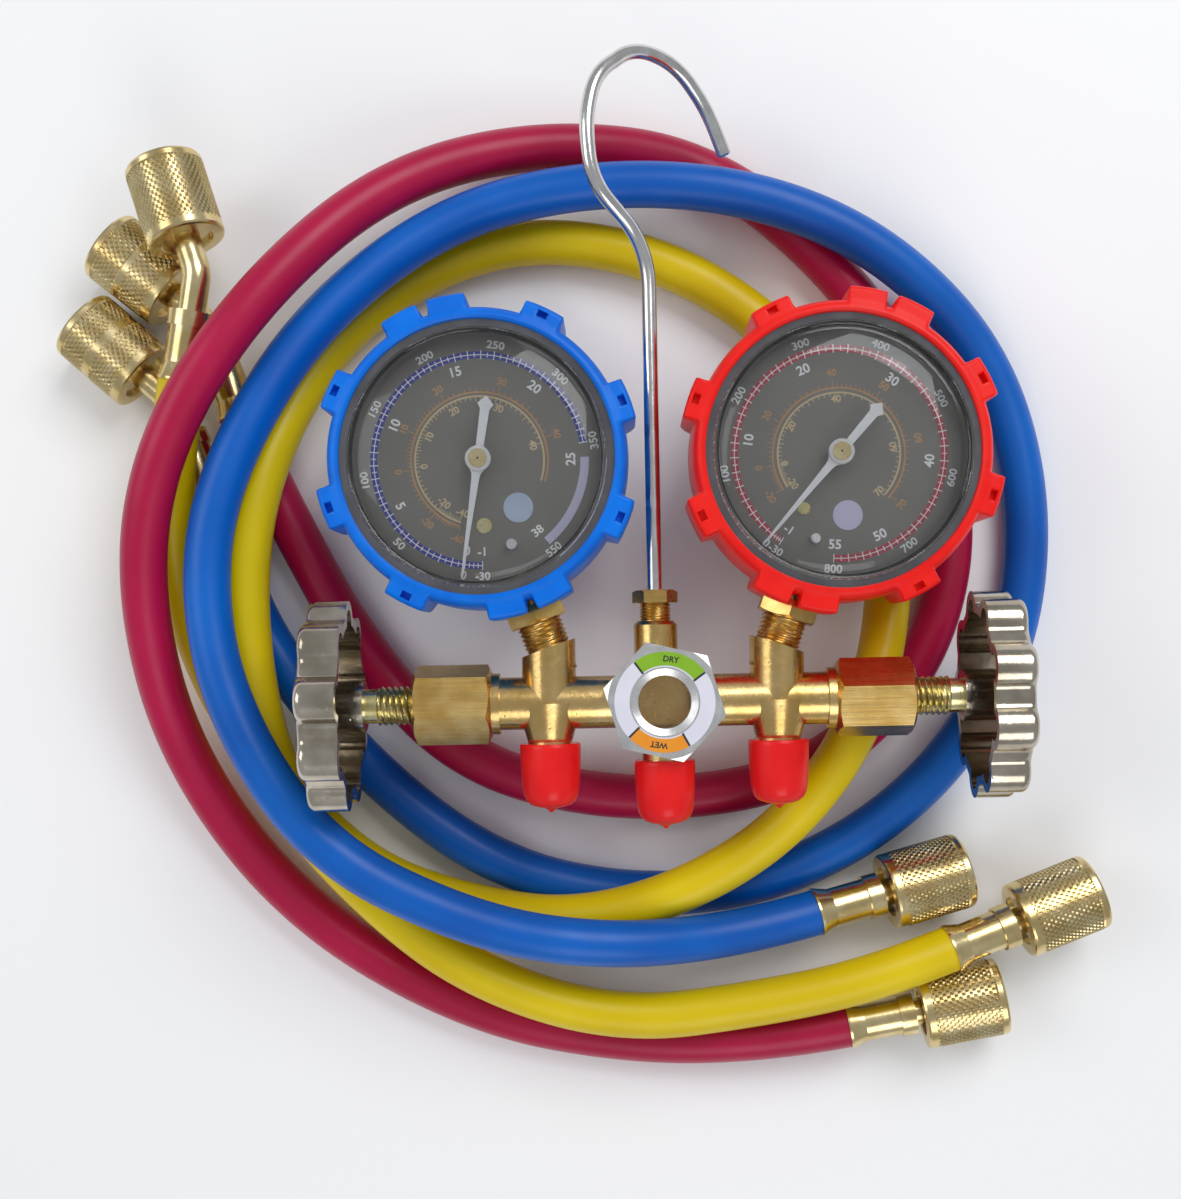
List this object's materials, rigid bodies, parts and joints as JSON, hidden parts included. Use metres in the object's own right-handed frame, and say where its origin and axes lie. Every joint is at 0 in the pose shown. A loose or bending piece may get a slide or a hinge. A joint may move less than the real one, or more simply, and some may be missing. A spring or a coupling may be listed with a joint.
{
  "type": "refrigerant manifold gauge",
  "caption": "Two-valve refrigerant manifold with rubber-booted low and high side gauges, sight glass, hanging hook, capped ports and coiled service hoses.",
  "frame": {"origin": "mouth of the centre port, on its axis, at the height of the bar's axis", "axes": "+X along the bar towards the high side, +Y up the manifold towards the hook, +Z out of the dials"},
  "size_m": [0.2766, 0.2629, 0.0664],
  "materials": {
    "cast_brass": "polished casting",
    "machined_brass": "turned and brushed",
    "fitting_brass": "pale bright turned",
    "knob_zinc": "warm bright plated casting",
    "stem_steel": "yellow zinc plated",
    "hook_wire": "bright plated wire",
    "cap_vinyl": "soft glossy vinyl",
    "boot_blue": "matte moulded rubber",
    "boot_red": "matte moulded rubber",
    "case_metal": "black enamel",
    "lens_clear": "clear polished",
    "dial_black": "satin printed",
    "pointer_white": "satin white",
    "hose_red": "smooth satin rubber",
    "hose_blue": "smooth satin rubber",
    "hose_yellow": "smooth satin rubber",
    "seal_rubber": "black moulded",
    "seat_plastic": "white machined",
    "sight_plate": "satin plated",
    "label_print": "printed ring",
    "movement_bronze": "bright drawn"
  },
  "bodies": {
    "root": {"manifold_body": "cast_brass", "sight_nut": "sight_plate", "sight_glass": "lens_clear", "sight_seal": "seal_rubber", "sight_label": "label_print", "hook_gland": "machined_brass", "bonnet_low": "machined_brass", "stem_oring_low": "seal_rubber", "gauge_boot_low": "boot_blue", "gauge_case_low": "case_metal", "gauge_socket_low": "machined_brass", "bourdon_tube_low": "movement_bronze", "dial_low": "dial_black", "gauge_lens_low": "lens_clear", "bonnet_high": "machined_brass", "stem_oring_high": "seal_rubber", "gauge_boot_high": "boot_red", "gauge_case_high": "case_metal", "gauge_socket_high": "machined_brass", "bourdon_tube_high": "movement_bronze", "dial_high": "dial_black", "gauge_lens_high": "lens_clear", "red_hose": "hose_red", "red_ferrules": "fitting_brass", "red_neck_straight": "fitting_brass", "red_neck_bent": "fitting_brass", "blue_hose": "hose_blue", "blue_ferrules": "fitting_brass", "blue_neck_straight": "fitting_brass", "blue_neck_bent": "fitting_brass", "yellow_hose": "hose_yellow", "yellow_ferrules": "fitting_brass", "yellow_neck_straight": "fitting_brass", "yellow_neck_bent": "fitting_brass", "hose_gaskets": "seal_rubber"},
    "low_valve_seat": {"seat_low": "seat_plastic"},
    "low_handwheel": {"stem_low": "stem_steel", "knob_low": "knob_zinc", "knob_screw_low": "stem_steel"},
    "low_pointer": {"pointer_low": "pointer_white", "arbor_low": "movement_bronze"},
    "low_sector": {"sector_low": "movement_bronze"},
    "high_valve_seat": {"seat_high": "seat_plastic"},
    "high_handwheel": {"stem_high": "stem_steel", "knob_high": "knob_zinc", "knob_screw_high": "stem_steel"},
    "high_pointer": {"pointer_high": "pointer_white", "arbor_high": "movement_bronze"},
    "high_sector": {"sector_high": "movement_bronze"},
    "hook_wire": {"hook": "hook_wire"},
    "low_cap": {"port_cap_low": "cap_vinyl"},
    "centre_cap": {"port_cap_centre": "cap_vinyl"},
    "high_cap": {"port_cap_high": "cap_vinyl"},
    "red_straight_nut": {"red_nut_straight": "fitting_brass"},
    "red_bent_nut": {"red_nut_bent": "fitting_brass"},
    "blue_straight_nut": {"blue_nut_straight": "fitting_brass"},
    "blue_bent_nut": {"blue_nut_bent": "fitting_brass"},
    "yellow_straight_nut": {"yellow_nut_straight": "fitting_brass"},
    "yellow_bent_nut": {"yellow_nut_bent": "fitting_brass"}
  },
  "joints": [
    {"name": "low_valve_travel", "type": "slide", "parent": "root", "child": "low_valve_seat", "axis": [1, 0, 0], "range_m": [0, 0.0045]},
    {"name": "low_handwheel_turn", "type": "hinge", "parent": "low_valve_seat", "child": "low_handwheel", "pos_m": [0, 0.0292, 0], "axis": [1, 0, 0], "range_deg": [0, 1080]},
    {"name": "low_pointer_turn", "type": "hinge", "parent": "root", "child": "low_pointer", "pos_m": [-0.04462, 0.08975, 0], "axis": [0, 0, 1], "range_deg": [-314, 9], "stiffness_Nm_per_rad": 0.0005},
    {"name": "low_sector_turn", "type": "hinge", "parent": "root", "child": "low_sector", "pos_m": [-0.04071, 0.07841, 0], "axis": [0, 0, 1], "range_deg": [-1, 34]},
    {"name": "high_valve_travel", "type": "slide", "parent": "root", "child": "high_valve_seat", "axis": [-1, 0, 0], "range_m": [0, 0.0045]},
    {"name": "high_handwheel_turn", "type": "hinge", "parent": "high_valve_seat", "child": "high_handwheel", "pos_m": [0, 0.0292, 0], "axis": [-1, 0, 0], "range_deg": [0, 1080]},
    {"name": "high_pointer_turn", "type": "hinge", "parent": "root", "child": "high_pointer", "pos_m": [0.04462, 0.08975, 0], "axis": [0, 0, 1], "range_deg": [-325, 6], "stiffness_Nm_per_rad": 0.0005},
    {"name": "high_sector_turn", "type": "hinge", "parent": "root", "child": "high_sector", "pos_m": [0.04071, 0.07841, 0], "axis": [0, 0, 1], "range_deg": [-1, 34]},
    {"name": "hook_swivel", "type": "hinge", "parent": "root", "child": "hook_wire", "pos_m": [-0.0017, 0.0292, 0], "axis": [0, 1, 0], "range_deg": [-75, 0]},
    {"name": "low_cap_pull", "type": "slide", "parent": "root", "child": "low_cap", "axis": [0, -1, 0], "range_m": [0, 0.018]},
    {"name": "centre_cap_pull", "type": "slide", "parent": "root", "child": "centre_cap", "axis": [0, -1, 0], "range_m": [0, 0.018]},
    {"name": "high_cap_pull", "type": "slide", "parent": "root", "child": "high_cap", "axis": [0, -1, 0], "range_m": [0, 0.018]},
    {"name": "red_straight_nut_spin", "type": "hinge", "parent": "root", "child": "red_straight_nut", "pos_m": [0.068, -0.05609, -0.02951], "axis": [0.9847, 0.1723, 0.0246], "continuous": true},
    {"name": "red_bent_nut_spin", "type": "hinge", "parent": "root", "child": "red_bent_nut", "pos_m": [-0.1283, 0.13931, -0.02971], "axis": [-0.7771, 0.6293, 0], "continuous": true},
    {"name": "blue_straight_nut_spin", "type": "hinge", "parent": "root", "child": "blue_straight_nut", "pos_m": [0.05907, -0.02385, -0.02731], "axis": [0.9634, 0.235, -0.1292], "continuous": true},
    {"name": "blue_bent_nut_spin", "type": "hinge", "parent": "root", "child": "blue_bent_nut", "pos_m": [-0.13663, 0.11763, -0.02989], "axis": [-0.7431, 0.6691, 0], "continuous": true},
    {"name": "yellow_straight_nut_spin", "type": "hinge", "parent": "root", "child": "yellow_straight_nut", "pos_m": [0.09357, -0.03183, -0.02467], "axis": [0.9379, 0.3367, -0.0842], "continuous": true},
    {"name": "yellow_bent_nut_spin", "type": "hinge", "parent": "root", "child": "yellow_bent_nut", "pos_m": [-0.12049, 0.14985, -0.01412], "axis": [-0.306, 0.9418, -0.1392], "continuous": true}
  ],
  "couplings": [
    {"joint": "low_valve_travel", "follows": "low_handwheel_turn", "m_per_rad": 0.0002387},
    {"joint": "low_sector_turn", "follows": "low_pointer_turn", "ratio": -0.1009},
    {"joint": "high_valve_travel", "follows": "high_handwheel_turn", "m_per_rad": 0.0002387},
    {"joint": "high_sector_turn", "follows": "high_pointer_turn", "ratio": -0.1009}
  ]
}
